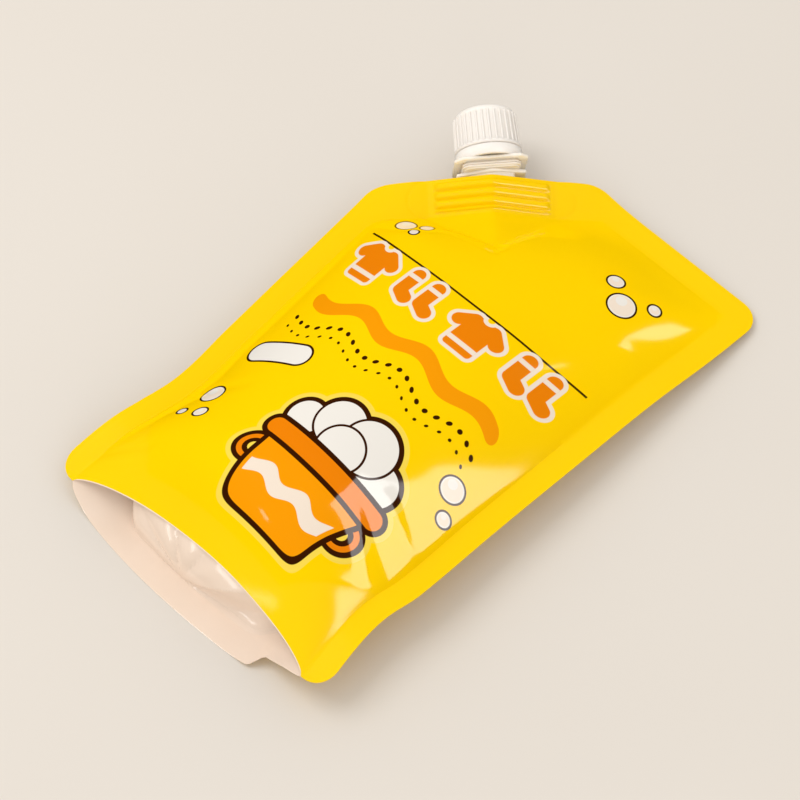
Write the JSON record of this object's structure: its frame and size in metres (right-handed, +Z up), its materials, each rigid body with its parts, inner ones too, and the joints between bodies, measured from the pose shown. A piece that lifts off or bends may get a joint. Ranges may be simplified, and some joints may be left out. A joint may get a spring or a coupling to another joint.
{
  "type": "laundry liquid pouch",
  "caption": "Filled stand-up film pouch with a bottom gusset and a corner spout, closed by a ribbed screw cap with a tamper band, lying on its back panel.",
  "frame": {"origin": "on the surface that the pouch lies on, under the middle of its bounding box", "axes": "+Y from the gusset mouth at the pouch's bottom to its top seal, +Z up out of the printed front panel, spout at the corner towards -X and +Y"},
  "size_m": [0.1376, 0.228, 0.0421],
  "materials": {
    "printed_film": "yellow printed laminate film, glossy, soft folds, fine mesh pressed into the heat seals, white inner film at the gusset",
    "spout_plastic": "natural moulded polyethylene, slightly milky",
    "cap_plastic": "white moulded polyethylene with fine grip ribs, satin"
  },
  "bodies": {
    "filled_pouch": {"pouch": "printed_film", "spout": "spout_plastic", "tamper_band": "cap_plastic"},
    "cap": {"screw_cap": "cap_plastic"}
  },
  "joints": [
    {"name": "cap_unscrew", "type": "hinge", "parent": "filled_pouch", "child": "cap", "pos_m": [-0.03873, 0.08539, 0.0123], "axis": [-0.7264, 0.6186, 0.2995], "range_deg": [0, 540]}
  ]
}
